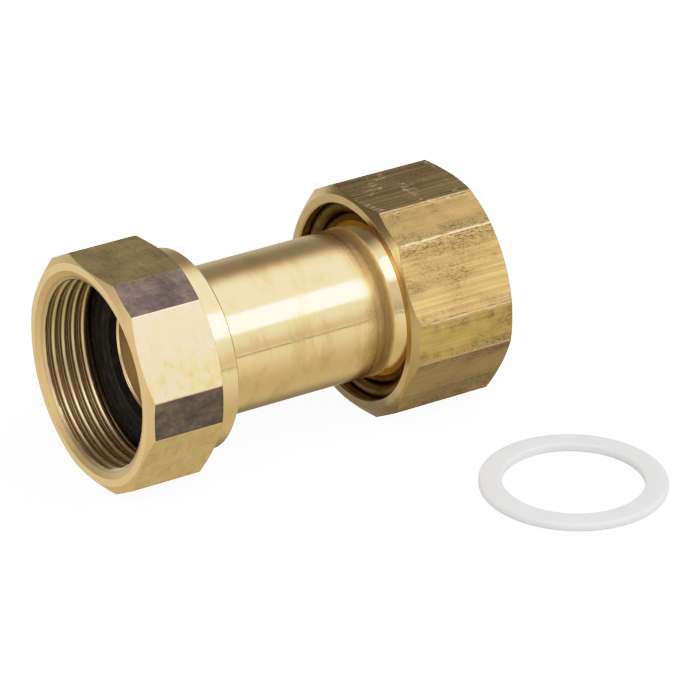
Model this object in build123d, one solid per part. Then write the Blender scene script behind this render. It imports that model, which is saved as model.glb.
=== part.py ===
from build123d import *
import os
from math import cos, degrees, radians, sin, sqrt, tan

# Double union fitting for pipes: a flanged sleeve with a union nut at each end.
# The common axis is X. The left thread starts at the origin and opens towards -X. Z is up. Millimetres.

# Pipe thread of both nuts, 1 1/4 inch. The bores are modelled smooth at the major diameter.
thread_major_diameter = 41.91
thread_depth = 1.48
thread_mouth_step = 0.645
thread_relief_depth = 0.345

# Twelve-sided bars that the nuts are cut from, 47 mm across their wide flats.
# The rise is how much further the narrow corner facets lie from the axis than the flats.
nut_wall = 2.545
left_corner_rise = 1.3
right_corner_rise = 1.1
nut_chamfer_angle = 30.0

# Left union nut
left_hex_length = 17.55
left_front_chamfer_angle = 28.0
left_front_ring_inset = 0.3
left_mouth_chamfer = 0.35
left_thread_length = 11.1
left_thread_relief_length = 0.95
left_neck_step = 2.3
left_neck_chamfer = 0.5
left_lip_thickness = 5.0

# Right union nut
right_lip_wall = 2.5
right_lip_ring_inset = 0.6
right_lip_length = 2.2
right_groove_depth = 1.0
right_land_length = 5.1
right_thread_relief_length = 2.0
right_thread_length = 11.6
right_mouth_chamfer = 0.7
right_front_ring_inset = 0.1
lip_edge_chamfer = 0.3

# Sleeve. Its flanges pass through the thread with the given gap all round.
tube_diameter = 31.5
tube_wall = 2.5
tube_length = 45.2
left_flange_gap = 0.275
left_flange_thickness = 3.25
cone_half_angle = 35.0
right_flange_gap = 0.175
right_flange_land = 2.3
sleeve_edge_chamfer = 0.4
flange_root_fillet = 0.6

# Snap ring of round wire. The inset is how far the wire's centre lies inside the lip's bore.
wire_diameter = 3.0
ring_inset = 1.0
ring_split_gap = 4.0
ring_split_angle = -30.0

# Rubber gasket in the left nut
rubber_gasket_gap = 0.5
rubber_gasket_hole_step = 0.55
rubber_gasket_thickness = 2.15
rubber_gasket_edge_radius = 0.3

# Loose flat gasket, lying on the ground beside the fitting
flat_gasket_gap = 0.075
flat_gasket_width = 4.85
flat_gasket_thickness = 1.9
flat_gasket_edge_radius = 0.45
flat_gasket_x = 81.4
flat_gasket_y = -54.4

# Running clearances
tube_clearance = 0.3
flange_clearance = 0.3
seat_clearance = 0.15
ring_clearance = 0.15

# Radii of the thread, the bar and the bores
thread_radius = thread_major_diameter / 2
thread_crest_radius = thread_radius - thread_depth
thread_mouth_radius = thread_radius + thread_mouth_step
thread_relief_radius = thread_radius + thread_relief_depth
flat_radius = thread_radius + nut_wall
tube_radius = tube_diameter / 2
bore_radius = tube_radius - tube_wall
left_flange_radius = thread_crest_radius - left_flange_gap
right_flange_radius = thread_crest_radius - right_flange_gap
right_lip_bore_radius = flat_radius - right_lip_wall
right_groove_radius = right_lip_bore_radius + right_groove_depth
ring_radius = right_lip_bore_radius - ring_inset
wire_radius = wire_diameter / 2

# Places along the axis, from the start of the left thread
left_mouth_x = -left_mouth_chamfer
left_hex_end_x = left_mouth_x + left_hex_length
left_gasket_x = left_thread_length + left_thread_relief_length
left_flange_x = left_gasket_x + rubber_gasket_thickness
left_flange_back_x = left_flange_x + left_flange_thickness
left_lip_x = left_flange_back_x + seat_clearance
left_nut_end_x = left_lip_x + left_lip_thickness
cone_start_x = left_flange_back_x + tube_length
cone_end_x = cone_start_x + (right_flange_radius - tube_radius) / tan(radians(cone_half_angle))
sleeve_end_x = cone_end_x + right_flange_land

# The wire ring lies one clearance off the cone
ring_height_on_cone = (ring_radius - tube_radius) * cos(radians(cone_half_angle))
ring_offset = (ring_height_on_cone - wire_radius - ring_clearance) / sin(radians(cone_half_angle))
ring_x = cone_start_x + ring_offset

# The lip's inner corner lies one clearance off the wire, and the rest of the right nut follows
groove_start_x = ring_x - sqrt((wire_radius + ring_clearance) ** 2 - ring_inset**2)
groove_end_x = ring_x + wire_radius + ring_clearance
right_lip_x = groove_start_x - right_lip_length
right_relief_x = groove_end_x + right_land_length
right_relief_end_x = right_relief_x + right_thread_relief_length
right_thread_start_x = right_relief_end_x + right_thread_length
right_mouth_x = right_thread_start_x + right_mouth_chamfer

# Radius that lies outside every corner of both bars
bar_outer_radius = (flat_radius + max(left_corner_rise, right_corner_rise)) / cos(radians(30))


def turned(outline):
    """Solid of revolution about X from the (x, radius) corners of half its section."""
    return revolve(make_face(Polyline(*outline, close=True)), Axis.X)


def bar(start_x, end_x, corner_rise):
    """Length of a twelve-sided bar, with wide flats facing up and down."""
    wide_flats = RegularPolygon(flat_radius, 6, major_radius=False)
    corner_facets = RegularPolygon(flat_radius + corner_rise, 6, major_radius=False, rotation=30)
    section = Plane.YZ.offset(start_x) * (wide_flats & corner_facets)
    return extrude(section, end_x - start_x)


def chamfer_run(ring_radius, angle=nut_chamfer_angle):
    """Axial length of a nut chamfer from its face ring out to past the bar's corners."""
    return (bar_outer_radius - ring_radius) * tan(radians(angle))


def sleeve():
    """Tube with a flat flange at the left and a conical shoulder with a flange at the right."""
    edge = sleeve_edge_chamfer
    blank = turned(
        [
            (left_flange_x, bore_radius + edge),
            (left_flange_x, left_flange_radius - edge),
            (left_flange_x + edge, left_flange_radius),
            (left_flange_back_x, left_flange_radius),
            (left_flange_back_x, tube_radius),
            (cone_start_x, tube_radius),
            (cone_end_x, right_flange_radius),
            (sleeve_end_x - edge, right_flange_radius),
            (sleeve_end_x, right_flange_radius - edge),
            (sleeve_end_x, bore_radius + edge),
            (sleeve_end_x - edge, bore_radius),
            (left_flange_x + edge, bore_radius),
        ]
    )
    root_edges = blank.edges().filter_by(GeomType.CIRCLE).filter_by_position(
        Axis.X, left_flange_back_x, left_flange_back_x
    )
    root_edge = root_edges.sort_by(lambda edge: edge.radius)[0]
    return fillet(root_edge, flange_root_fillet)


def left_union_nut():
    """Nut with a round neck, closing on the back of the sleeve's left flange."""
    neck_radius = flat_radius - left_neck_step
    front_ring_radius = flat_radius - left_front_ring_inset
    envelope = turned(
        [
            (left_mouth_x, 0),
            (left_mouth_x, front_ring_radius),
            (left_mouth_x + chamfer_run(front_ring_radius, left_front_chamfer_angle), bar_outer_radius),
            (left_hex_end_x - chamfer_run(flat_radius), bar_outer_radius),
            (left_hex_end_x, flat_radius),
            (left_hex_end_x, neck_radius),
            (left_nut_end_x - left_neck_chamfer, neck_radius),
            (left_nut_end_x, neck_radius - left_neck_chamfer),
            (left_nut_end_x, 0),
        ]
    )
    flange_bore_radius = left_flange_radius + flange_clearance
    lip_bore_radius = tube_radius + tube_clearance
    shoulder_x = left_flange_x + seat_clearance
    hollow = turned(
        [
            (left_mouth_x, 0),
            (left_mouth_x, thread_mouth_radius),
            (0, thread_radius),
            (left_thread_length, thread_radius),
            (left_thread_length, thread_relief_radius),
            (shoulder_x, thread_relief_radius),
            (shoulder_x, flange_bore_radius),
            (left_lip_x, flange_bore_radius),
            (left_lip_x, lip_bore_radius + flange_root_fillet),
            (left_lip_x + flange_root_fillet, lip_bore_radius),
            (left_nut_end_x - lip_edge_chamfer, lip_bore_radius),
            (left_nut_end_x, lip_bore_radius + lip_edge_chamfer),
            (left_nut_end_x, 0),
        ]
    )
    return (bar(left_mouth_x, left_nut_end_x, left_corner_rise) & envelope) - hollow


def right_union_nut():
    """Nut with a grooved lip for the snap ring, a guiding land for the flange, and the thread."""
    lip_ring_radius = flat_radius - right_lip_ring_inset
    front_ring_radius = flat_radius - right_front_ring_inset
    envelope = turned(
        [
            (right_lip_x, 0),
            (right_lip_x, lip_ring_radius),
            (right_lip_x + chamfer_run(lip_ring_radius), bar_outer_radius),
            (right_mouth_x - chamfer_run(front_ring_radius), bar_outer_radius),
            (right_mouth_x, front_ring_radius),
            (right_mouth_x, 0),
        ]
    )
    hollow = turned(
        [
            (right_lip_x, 0),
            (right_lip_x, right_lip_bore_radius + lip_edge_chamfer),
            (right_lip_x + lip_edge_chamfer, right_lip_bore_radius),
            (groove_start_x, right_lip_bore_radius),
            (groove_start_x, right_groove_radius),
            (groove_end_x, right_groove_radius),
            (groove_end_x, thread_crest_radius),
            (right_relief_x, thread_crest_radius),
            (right_relief_x, thread_relief_radius),
            (right_relief_end_x, thread_relief_radius),
            (right_relief_end_x, thread_radius),
            (right_thread_start_x, thread_radius),
            (right_mouth_x, thread_mouth_radius),
            (right_mouth_x, 0),
        ]
    )
    return (bar(right_lip_x, right_mouth_x, right_corner_rise) & envelope) - hollow


def snap_ring():
    """Split ring of round wire, with its gap turned to the far side."""
    gap_angle = degrees(ring_split_gap / ring_radius)
    section = Pos(ring_x, ring_radius) * Circle(wire_radius)
    ring = revolve(section, Axis.X, 360 - gap_angle)
    return Rot(X=ring_split_angle + gap_angle / 2) * ring


def gasket(outer_radius, hole_radius, thickness, edge_radius):
    """Flat ring on the ground plane, thickness up, with softly rounded edges."""
    ring = extrude(Circle(outer_radius) - Circle(hole_radius), thickness)
    return fillet(ring.edges().filter_by(GeomType.CIRCLE), edge_radius)


def rubber_gasket():
    """Black gasket lying against the front of the left flange."""
    ring = gasket(
        thread_relief_radius - rubber_gasket_gap,
        bore_radius + rubber_gasket_hole_step,
        rubber_gasket_thickness,
        rubber_gasket_edge_radius,
    )
    return Pos(X=left_gasket_x) * Rot(Y=90) * ring


def flat_gasket():
    """White gasket lying on the ground that the nuts' lower flats rest on."""
    outer_radius = thread_crest_radius - flat_gasket_gap
    ring = gasket(
        outer_radius,
        outer_radius - flat_gasket_width,
        flat_gasket_thickness,
        flat_gasket_edge_radius,
    )
    return Pos(flat_gasket_x, flat_gasket_y, -flat_radius) * ring


PIECES = {
    "sleeve": sleeve,
    "left_union_nut": left_union_nut,
    "rubber_gasket": rubber_gasket,
    "right_union_nut": right_union_nut,
    "snap_ring": snap_ring,
    "flat_gasket": flat_gasket,
}

os.makedirs("parts", exist_ok=True)
for node, make_piece in PIECES.items():
    export_step(make_piece(), f"parts/{node}.step")
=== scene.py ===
"""Looks of a double union fitting: a flanged sleeve, two union nuts, a snap ring and two gaskets.

Lengths of the pieces and the camera's place are in millimetres, those of lights and stage sheets in metres.
The common axis is X, and angles run from +Y to +Z.
"""

import logging
import math
from dataclasses import dataclass, field
from enum import IntEnum
from typing import Any, Dict, List, Optional, Sequence, Tuple, Union

import bmesh
import bpy
import numpy as np
from mathutils import Matrix, Vector


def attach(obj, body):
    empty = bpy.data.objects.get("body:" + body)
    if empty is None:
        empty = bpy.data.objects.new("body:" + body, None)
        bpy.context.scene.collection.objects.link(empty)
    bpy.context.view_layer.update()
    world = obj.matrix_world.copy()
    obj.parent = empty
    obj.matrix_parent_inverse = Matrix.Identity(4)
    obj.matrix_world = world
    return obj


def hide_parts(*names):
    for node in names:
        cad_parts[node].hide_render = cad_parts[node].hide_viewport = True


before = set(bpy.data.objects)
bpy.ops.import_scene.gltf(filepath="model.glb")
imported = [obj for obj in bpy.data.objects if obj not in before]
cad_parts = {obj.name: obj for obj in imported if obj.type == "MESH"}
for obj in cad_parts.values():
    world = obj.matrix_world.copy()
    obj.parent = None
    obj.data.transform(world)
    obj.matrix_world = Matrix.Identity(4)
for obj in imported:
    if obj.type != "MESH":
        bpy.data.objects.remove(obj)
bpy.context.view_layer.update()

Colour = Tuple[float, float, float]
Place = Tuple[float, float, float]
Span = Tuple[float, float]
Number = Union[float, np.ndarray]
Sockets = Dict[str, Any]

MM = 0.001
AXIS: Place = (1.0, 0.0, 0.0)
FLOOR_Z = -23.5
TOP_FLAT_Z: Span = (22.8, 23.3)
FLAT_GASKET_CENTRE: Tuple[float, float] = (81.4, -54.4)

# Patterns: weight of the radius against the place along the axis in turned rings, and grain of the noises
RING_RATIO = 1.618
NOISE_ROUGHNESS = 0.55

# Sides of the bar that the nuts are made of, and the angle from one side to the next
BAR_SIDES = 12
SIDE_TURN = 2.0 * math.pi / BAR_SIDES

# Mesh settings: columns of a full turn, distance of points that become one, and angle of a sharp edge
TURN_COLUMNS = 192
WELD_DISTANCE = 0.0004
SHARP_ANGLE = math.radians(40.0)

# Rounded corners: the largest share of a side that a rounding takes, and the rows that guard it on both sides
SOFT_SHARE = 0.4
GUARD_REACH = 2.2
GUARD_SHARE = 0.46
SHORTEST_SIDE = 1e-9

log = logging.getLogger("union_fitting")


# Shader sockets and graphs


class Socket:
    """Output of a shader node that takes part in arithmetic."""

    def __init__(self, graph: "Graph", output: bpy.types.NodeSocket) -> None:
        """Keeps the output and the graph that its maths nodes go into."""
        self.graph = graph
        self.output = output

    def maths(self, operation: str, *values: Union["Socket", float]) -> "Socket":
        """Adds one Math node.

        Args:
            operation: Name of the Math node's operation.
            values: The values of its sockets, in order.

        Returns:
            The node's output.
        """
        return self.graph.node("ShaderNodeMath", {"operation": operation}, dict(enumerate(values)))

    def __add__(self, other: Union["Socket", float]) -> "Socket":
        """Sum."""
        return self.maths("ADD", self, other)

    def __radd__(self, other: float) -> "Socket":
        """Sum with a number on the left."""
        return self.maths("ADD", other, self)

    def __sub__(self, other: Union["Socket", float]) -> "Socket":
        """Difference."""
        return self.maths("SUBTRACT", self, other)

    def __rsub__(self, other: float) -> "Socket":
        """Difference with a number on the left."""
        return self.maths("SUBTRACT", other, self)

    def __mul__(self, other: Union["Socket", float]) -> "Socket":
        """Product."""
        return self.maths("MULTIPLY", self, other)

    def __abs__(self) -> "Socket":
        """Size without its sign."""
        return self.maths("ABSOLUTE", self)

    def diagonal(self, other: "Socket") -> "Socket":
        """Length of the diagonal over this side and another."""
        return self.maths("SQRT", self * self + other * other)

    def smooth(self, low: float, high: float) -> "Socket":
        """Soft step from 0 at low to 1 at high.

        Args:
            low: Value that gives 0.
            high: Value that gives 1, which may be below low.

        Returns:
            The step between 0 and 1.
        """
        if high < low:
            return 1.0 - self.smooth(high, low)
        settings = {"interpolation_type": "SMOOTHSTEP"}
        return self.graph.node("ShaderNodeMapRange", settings, {0: self, 1: low, 2: high})

    def sibling(self, name: str) -> "Socket":
        """Another output of the same node, by its name."""
        return Socket(self.graph, self.output.node.outputs[name])


def blend(factor: Socket, first: Union[Socket, float], second: Union[Socket, float]) -> Socket:
    """Number between two numbers: the first where the factor is 0 and the second where it is 1."""
    return first + factor * (second - first)


class Graph:
    """Node tree of one material or of the world."""

    def __init__(self, tree: bpy.types.NodeTree) -> None:
        """Empties the tree that is to be filled."""
        self.tree = tree
        tree.nodes.clear()

    def node(
        self,
        kind: str,
        settings: Optional[Dict[str, Any]] = None,
        sockets: Optional[Dict[Union[int, str], Any]] = None,
        output: Union[int, str] = 0,
    ) -> Socket:
        """Adds a node.

        Args:
            kind: Blender's name of the node type.
            settings: Properties that are set first. "stops" gives a ramp's places and colours.
            sockets: Values or links of its inputs, by name or place.
            output: The output to return.

        Returns:
            The chosen output.
        """
        made = self.tree.nodes.new(kind)
        for name, value in (settings or {}).items():
            if name == "stops":
                self._set_stops(made.color_ramp, value)
            else:
                setattr(made, name, value)
        for name, value in (sockets or {}).items():
            if isinstance(value, Socket):
                self.tree.links.new(value.output, made.inputs[name])
            else:
                made.inputs[name].default_value = value
        return Socket(self, made.outputs[output] if made.outputs else None)

    @staticmethod
    def _set_stops(ramp: bpy.types.ColorRamp, stops: Sequence[Tuple[float, Colour]]) -> None:
        """Gives a ramp its stops.

        Args:
            ramp: The ramp of a new node, which has two stops.
            stops: Place and colour of each stop, in order.
        """
        while len(ramp.elements) < len(stops):
            ramp.elements.new(1.0)
        for element, (place, colour) in zip(ramp.elements, stops):
            element.position = place
            element.color = (*colour, 1.0)

    def vector(self, operation: str, *values: Any) -> Socket:
        """Vector Math node with these values in order."""
        return self.node("ShaderNodeVectorMath", {"operation": operation}, dict(enumerate(values)))

    def scaled(self, vector: Socket, factor: Union[Socket, float]) -> Socket:
        """Vector or colour times a number."""
        return self.node("ShaderNodeVectorMath", {"operation": "SCALE"}, {0: vector, "Scale": factor})

    def mix(self, factor: Union[Socket, float], first: Any, second: Any) -> Socket:
        """Colour between two colours.

        Args:
            factor: 0 gives the first colour and 1 the second.
            first: Colour or link.
            second: Colour or link.

        Returns:
            The mixed colour.
        """
        pair = [(*c, 1.0) if isinstance(c, tuple) else c for c in (first, second)]
        settings = {"data_type": "RGBA", "clamp_factor": True}
        return self.node("ShaderNodeMix", settings, {0: factor, 6: pair[0], 7: pair[1]}, 2)

    def line_noise(self, place: Socket, rate: float, detail: float) -> Socket:
        """Noise along one number, with this many cycles per millimetre."""
        sockets = {"W": place, "Scale": rate, "Detail": detail}
        return self.node("ShaderNodeTexNoise", {"noise_dimensions": "1D"}, sockets)

    def bump(self, height: Socket, strength: float, depth: float) -> Socket:
        """Normal of a relief, by its height, strength and depth in millimetres."""
        sockets = {"Strength": strength, "Distance": depth * MM, "Height": height}
        return self.node("ShaderNodeBump", None, sockets)

    def parts(self, vector: Socket) -> Tuple[Socket, Socket, Socket]:
        """The three components of a vector."""
        split = self.node("ShaderNodeSeparateXYZ", None, {0: vector})
        return split, split.sibling("Y"), split.sibling("Z")


@dataclass
class Surface:
    """Places and directions on a piece that all its finishes read."""

    graph: Graph
    place: Socket = field(init=False)
    x: Socket = field(init=False)
    y: Socket = field(init=False)
    z: Socket = field(init=False)
    radius: Socket = field(init=False)
    normal: Socket = field(init=False)
    around: Socket = field(init=False)

    def __post_init__(self) -> None:
        """Adds the nodes for the place in millimetres and the direction round the axis."""
        graph = self.graph
        here = graph.node("ShaderNodeTexCoord", None, None, "Object")
        self.place = graph.scaled(here, 1.0 / MM)
        self.x, self.y, self.z = graph.parts(self.place)
        self.radius = self.y.diagonal(self.z)
        geometry = graph.node("ShaderNodeNewGeometry", None, None, "Position")
        self.normal = geometry.sibling("Normal")
        self.around = graph.vector("NORMALIZE", graph.vector("CROSS_PRODUCT", AXIS, geometry))

    def noise(self, along: float, across: float, detail: float, shift: Place = (0.0, 0.0, 0.0)) -> Socket:
        """Noise over the piece.

        Args:
            along: Cycles per millimetre along the axis.
            across: Cycles per millimetre across the axis.
            detail: Octaves of finer noise.
            shift: Offset that makes this noise differ from another.

        Returns:
            Noise around 0.5.
        """
        moved = self.graph.vector("MULTIPLY_ADD", self.place, (along, across, across), shift)
        sockets = {"Vector": moved, "Scale": 1.0, "Detail": detail, "Roughness": NOISE_ROUGHNESS}
        return self.graph.node("ShaderNodeTexNoise", {"noise_dimensions": "3D"}, sockets)

    def ring_place(self) -> Socket:
        """Number that changes from ring to ring on any turned face."""
        return self.x + self.radius * RING_RATIO

    def leaned(self, grain: Union[Socket, Place], lean: Socket) -> Socket:
        """Normal that leans across a grain.

        Args:
            grain: Direction that the fine lines run in.
            lean: How far the normal leans at this place.

        Returns:
            The new normal.
        """
        graph = self.graph
        across = graph.scaled(graph.vector("CROSS_PRODUCT", self.normal, grain), lean)
        return graph.vector("NORMALIZE", graph.vector("ADD", self.normal, across))

    def top_flat(self) -> Socket:
        """1 on the flat of a nut that faces up at rest, and 0 elsewhere."""
        return self.z.smooth(*TOP_FLAT_Z)

    def edge_angle(self, corner_degrees: float) -> Tuple[Socket, Socket]:
        """Angular distance from the nearest corner of the twelve-sided bar.

        Args:
            corner_degrees: Angle between the middle of a wide flat and its corner.

        Returns:
            The signed distance in degrees, negative on the wide flat, and its size.
        """
        flat_step = 60.0
        turn = self.y.maths("ARCTAN2", self.z, self.y) * math.degrees(1.0) + 360.0
        from_flat = abs(turn.maths("MODULO", turn, flat_step) - flat_step / 2)
        signed = from_flat - corner_degrees
        return signed, abs(signed)


# Finishes


class Finish:
    """Base of the finishes: a named procedural material."""

    name: str = "finish"

    def dress(self, graph: Graph, surface: Surface) -> Sockets:
        """Values and links of the main shader's sockets."""
        raise NotImplementedError

    def material(self) -> bpy.types.Material:
        """Makes the material.

        Returns:
            A new material with this finish.
        """
        made = bpy.data.materials.new(self.name)
        made.use_nodes = True
        graph = Graph(made.node_tree)
        sockets = self.dress(graph, Surface(graph))
        shader = graph.node("ShaderNodeBsdfPrincipled", None, sockets)
        graph.node("ShaderNodeOutputMaterial", None, {"Surface": shader})
        return made


@dataclass(frozen=True)
class TurnedBrass(Finish):
    """Bare brass from a lathe, with fine rings that blur reflections along the section."""

    name: str = "turned_brass"
    colour: Colour = (0.74, 0.53, 0.26)
    stain: Colour = (0.55, 0.36, 0.14)
    roughness: float = 0.13
    ring_lean: float = 0.16
    broad_share: float = 0.25
    stain_share: float = 0.25
    # Orange colour that coarseness mixes in: a painted reflection of the cone in the tube
    cone_reflection_colour: Colour = (0.86, 0.58, 0.22)
    coarse_lean: float = 0.9
    coarse_roughness: float = 0.45

    def coarseness(self, surface: Surface) -> Union[Socket, float]:
        """How much coarser the rings are at a place, from 0 to 1, which also sets how much of the painted
        reflection colour is mixed in.
        """
        return 0.0

    def dress(self, graph: Graph, surface: Surface) -> Sockets:
        """Brass with rings, soft tarnish and ring-shaped blur."""
        rings = surface.ring_place()
        fine = graph.line_noise(rings, 22.0, 1.0)
        broad = graph.line_noise(rings, 2.6, 3.0)
        cloud = surface.noise(0.22, 0.1, 3.0)
        blot = surface.noise(0.9, 0.35, 3.0, (3.0, 7.0, 1.0))
        speck = surface.noise(1.6, 1.1, 2.0, (4.0, 2.0, 8.0)).smooth(0.66, 0.76)
        tarnish = ((cloud + (blot - 0.5) * 0.5).smooth(0.46, 0.72) + speck) * self.stain_share
        tone = 1.0 + (broad - 0.5) * (0.6 * self.broad_share) + (blot - 0.5) * 0.1
        coarse = self.coarseness(surface)
        blurred = coarse * coarse * coarse
        roughness = self.roughness + blurred * self.coarse_roughness
        # Painted reflection: near the cone the colour turns orange, for the cone mirrored in the tube
        metal = graph.mix(blurred, self.colour, self.cone_reflection_colour)
        colour = graph.scaled(graph.mix(tarnish, metal, self.stain), tone)
        unevenness = fine - 0.5 + (broad - 0.5) * self.broad_share
        lean = unevenness * (self.ring_lean + coarse * self.coarse_lean)
        return {
            "Base Color": colour,
            "Metallic": 1.0,
            "Roughness": (blot - 0.5) * 0.08 + tarnish * 0.15 + roughness,
            "Normal": surface.leaned(surface.around, lean),
        }


@dataclass(frozen=True)
class SleeveBrass(TurnedBrass):
    """Turned brass of the sleeve, whose rings get coarser next to the cone, where its colour turns orange as
    a painted reflection of the cone in the tube.
    """

    name: str = "sleeve_turned_brass"
    roughness: float = 0.1
    ring_lean: float = 0.18
    broad_share: float = 0.08
    stain_share: float = 0.52
    coarse_x: Span = (52.0, 63.0)
    cone_radius: Span = (16.1, 15.9)

    def coarseness(self, surface: Surface) -> Socket:
        """Grows towards the end of the tube and stops at the cone, and so also places the painted reflection
        colour.
        """
        return surface.x.smooth(*self.coarse_x) * surface.radius.smooth(*self.cone_radius)


@dataclass(frozen=True)
class BoreBrass(TurnedBrass):
    """Pale, coarser brass of the sleeve's bore."""

    name: str = "sleeve_bore_brass"
    colour: Colour = (0.94, 0.8, 0.55)
    stain: Colour = (0.74, 0.57, 0.32)
    roughness: float = 0.34


@dataclass(frozen=True)
class InsideBrass(TurnedBrass):
    """Olive brass of the turned faces inside the nuts, darkened as painted shade for the recess."""

    # Darker colour: painted shade inside the nut
    colour: Colour = (0.48, 0.35, 0.15)
    stain: Colour = (0.3, 0.2, 0.08)
    roughness: float = 0.28


@dataclass(frozen=True)
class LipBrass(TurnedBrass):
    """Turned faces of the right nut, darker brown towards the bottom."""

    name: str = "right_nut_turned_brass"
    colour: Colour = (0.45, 0.31, 0.125)
    roughness: float = 0.2
    brown: Colour = (0.13, 0.082, 0.034)
    brown_z: Span = (-12.5, -18.5)
    brown_share: float = 0.8
    brown_ragged: float = 6.0

    def dress(self, graph: Graph, surface: Surface) -> Sockets:
        """Turned brass that turns darker brown towards the bottom."""
        sockets = super().dress(graph, surface)
        blot = surface.noise(0.5, 0.3, 3.0)
        # Darker brown towards the bottom of the nut
        brown_amount = (surface.z + (blot - 0.5) * self.brown_ragged).smooth(*self.brown_z)
        sockets["Base Color"] = graph.mix(brown_amount * self.brown_share, sockets["Base Color"], self.brown)
        return sockets


@dataclass(frozen=True)
class MilledBrass(Finish):
    """Pale machined flats of the left nut, with faint cross streaks, yellow stains and a painted reflection
    that makes the top flat olive.
    """

    name: str = "milled_brass"
    colour: Colour = (0.6, 0.415, 0.25)
    stain: Colour = (0.51, 0.3, 0.115)
    olive: Colour = (0.48, 0.355, 0.15)
    golden: Colour = (0.83, 0.6, 0.305)
    dull: Colour = (0.61, 0.432, 0.172)
    more_stain_z: Span = (13.0, 6.0)
    warm_z: Span = (-1.0, -2.5)
    roughness: float = 0.32
    streak_lean: float = 0.12

    def dress(self, graph: Graph, surface: Surface) -> Sockets:
        """Brass with streaks across the axis, pale and stained above, olive on top as a painted reflection of
        the dim back, and golden below.
        """
        streak = surface.noise(3.2, 0.12, 3.0)
        fine = surface.noise(14.0, 0.3, 1.0, (5.0, 2.0, 9.0))
        cloud = surface.noise(0.16, 0.2, 3.0, (1.0, 4.0, 2.0))
        speck = surface.noise(0.9, 0.9, 3.0, (8.0, 1.0, 6.0)).smooth(0.56, 0.74)
        blot = surface.noise(0.6, 0.5, 3.0, (8.0, 1.0, 6.0)).smooth(0.42, 0.85)
        stained = cloud.smooth(0.34, 0.68) * 0.6 + speck * 0.2 + blot * 0.8
        tone = 1.0 + (streak - 0.5) * 0.16 + (fine - 0.5) * 0.08
        top = surface.top_flat()
        stain_share = 0.5 + surface.z.smooth(*self.more_stain_z) * 0.7
        pale = graph.mix(stained * stain_share, self.colour, self.stain)
        warm = graph.mix(stained, self.golden, self.dull)
        sides = graph.mix(surface.z.smooth(*self.warm_z), pale, warm)
        # Painted reflection: the flat that faces up turns olive, for the dim back that it mirrors
        metal = graph.mix(top, sides, self.olive)
        patchy = 1.0 + (cloud * 1.5 + streak * 0.5 - speck * 0.4 - 1.0) * (0.25 + top * 0.7)
        return {
            "Base Color": graph.scaled(metal, tone * patchy),
            "Metallic": 1.0,
            "Roughness": self.roughness + (streak - 0.5) * 0.1,
            "Normal": surface.leaned(surface.around, (fine - 0.5) * self.streak_lean),
        }


@dataclass(frozen=True)
class RawSkin(Finish):
    """Dark skin of the raw bar that is left on the left nut's corner facets."""

    name: str = "raw_brass_skin"
    dark: Colour = (0.078, 0.062, 0.054)
    middle: Colour = (0.117, 0.09, 0.074)
    light: Colour = (0.185, 0.14, 0.098)
    roughness: float = 0.32

    def dress(self, graph: Graph, surface: Surface) -> Sockets:
        """Mottled brown and grey skin with small pits."""
        mottle = surface.noise(0.9, 1.4, 5.0)
        lines = surface.noise(0.06, 3.0, 2.0, (2.0, 2.0, 2.0))
        pits = surface.noise(5.0, 5.0, 2.0, (4.0, 9.0, 1.0))
        broad = surface.noise(0.16, 0.22, 2.0, (6.0, 3.0, 7.0))
        shade = mottle * 0.6 + lines * 0.2 + pits * 0.15 + broad * 0.8 - 0.375
        stops = [(0.33, self.dark), (0.5, self.middle), (0.72, self.light)]
        colour = graph.node("ShaderNodeValToRGB", {"stops": stops}, {0: shade})
        height = pits * 0.5 + mottle * 0.5
        return {
            "Base Color": colour,
            "Metallic": 1.0,
            "Roughness": self.roughness + (pits - 0.5) * 0.2,
            "Normal": graph.bump(height, 0.3, 0.03),
        }


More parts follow.
